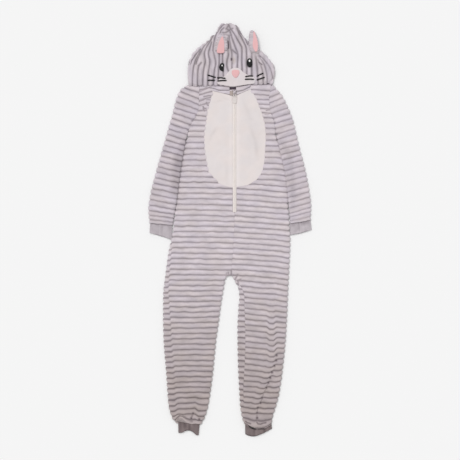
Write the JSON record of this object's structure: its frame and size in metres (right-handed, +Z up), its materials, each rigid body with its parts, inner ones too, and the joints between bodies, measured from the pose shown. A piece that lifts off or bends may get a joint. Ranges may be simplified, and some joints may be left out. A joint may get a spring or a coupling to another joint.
{
  "type": "onesie pajama",
  "caption": "Child's hooded zip-front onesie in ribbed plush with a fleece bib, animal face and ears on the hood and knitted cuffs, laid flat on its back.",
  "frame": {"origin": "middle of the flattened garment's bounding box, on the surface that it lies on", "axes": "+Y from the ankles towards the hood, +Z up off the surface through the front, +X towards the wearer's left"},
  "size_m": [0.522, 1.3219, 0.025],
  "materials": {
    "ribbed_plush": "soft grey-lilac plush with raised ribs",
    "cuff_knit": "grey rib knit",
    "cream_fleece": "brushed cream fleece",
    "zip_cream": "woven cream zip tape with cream plastic teeth",
    "pull_cream": "cream woven tape",
    "pink_plush": "short pink plush",
    "black_thread": "satin-stitched black thread",
    "label_tape": "bare dark woven tape",
    "slider_enamel": "satin enamel"
  },
  "bodies": {
    "garment": {"back_right": "ribbed_plush", "back_left": "ribbed_plush", "front_right": "ribbed_plush", "front_left": "ribbed_plush", "bib_right": "cream_fleece", "bib_left": "cream_fleece", "zip_tape": "zip_cream", "zip_slider": "slider_enamel", "sleeve_right": "ribbed_plush", "sleeve_left": "ribbed_plush", "sleeve_cuff_right": "cuff_knit", "sleeve_cuff_left": "cuff_knit", "leg_cuff_right": "cuff_knit", "leg_cuff_left": "cuff_knit", "hood_under": "ribbed_plush", "hood_upper": "ribbed_plush", "neck_band_right": "ribbed_plush", "neck_band_left": "ribbed_plush", "muzzle": "cream_fleece", "nose": "pink_plush", "eye_right": "black_thread", "eye_left": "black_thread", "ear_right": "ribbed_plush", "ear_left": "ribbed_plush", "ear_inner_right": "pink_plush", "ear_inner_left": "pink_plush", "neck_label": "label_tape"},
    "pull_tab": {"zip_pull": "pull_cream"}
  },
  "joints": [
    {"name": "pull_hinge", "type": "hinge", "parent": "garment", "child": "pull_tab", "pos_m": [0.0147, 0.4345, 0.0143], "axis": [-1, 0, 0], "range_deg": [0, 120]}
  ]
}
